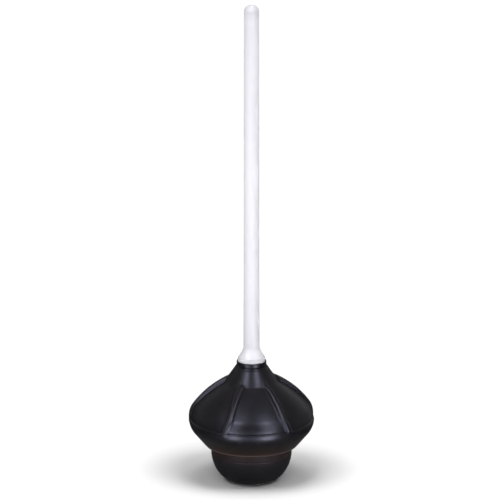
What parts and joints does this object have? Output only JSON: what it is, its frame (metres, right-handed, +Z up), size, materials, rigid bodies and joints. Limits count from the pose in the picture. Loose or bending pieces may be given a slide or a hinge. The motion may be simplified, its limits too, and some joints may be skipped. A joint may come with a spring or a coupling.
{
  "type": "toilet plunger",
  "caption": "Toilet plunger: black moulded rubber force cup with a ribbed bell over a round bulb, and a long hollow white plastic handle screwed into its neck.",
  "frame": {"origin": "centre of the cup's mouth, on the flat rim plane that the plunger stands on", "axes": "+Z up along the handle; -Y is the front, where a wide smooth panel of the bell faces; +X is to the right seen from the front"},
  "size_m": [0.159, 0.159, 0.62],
  "materials": {
    "black_rubber": "moulded black rubber with a soft sheen and fine mould texture",
    "white_plastic": "smooth white polypropylene with a soft gloss",
    "insert_plastic": "matt grey glass-filled plastic",
    "seal_rubber": "plain dark rubber sheet"
  },
  "bodies": {
    "cup": {"rubber_cup": "black_rubber"},
    "neck": {"socket_insert": "insert_plastic"},
    "seal": {"seal_washer": "seal_rubber"},
    "handle": {"handle_foot": "white_plastic", "handle_tube": "white_plastic", "end_cap": "white_plastic"}
  },
  "joints": [
    {"name": "cup_stroke", "type": "slide", "parent": "cup", "child": "neck", "axis": [0, 0, -1], "range_m": [0, 0.04], "stiffness_N_per_m": 1500, "deforming": ["rubber_cup"]},
    {"name": "handle_rise", "type": "slide", "parent": "neck", "child": "seal", "axis": [0, 0, 1], "range_m": [0, 0.018]},
    {"name": "handle_turn", "type": "hinge", "parent": "seal", "child": "handle", "pos_m": [0, 0, 0.15], "axis": [0, 0, 1], "range_deg": [0, 1080]}
  ],
  "couplings": [
    {"joint": "handle_turn", "follows": "handle_rise", "rad_per_m": 1047.2}
  ]
}
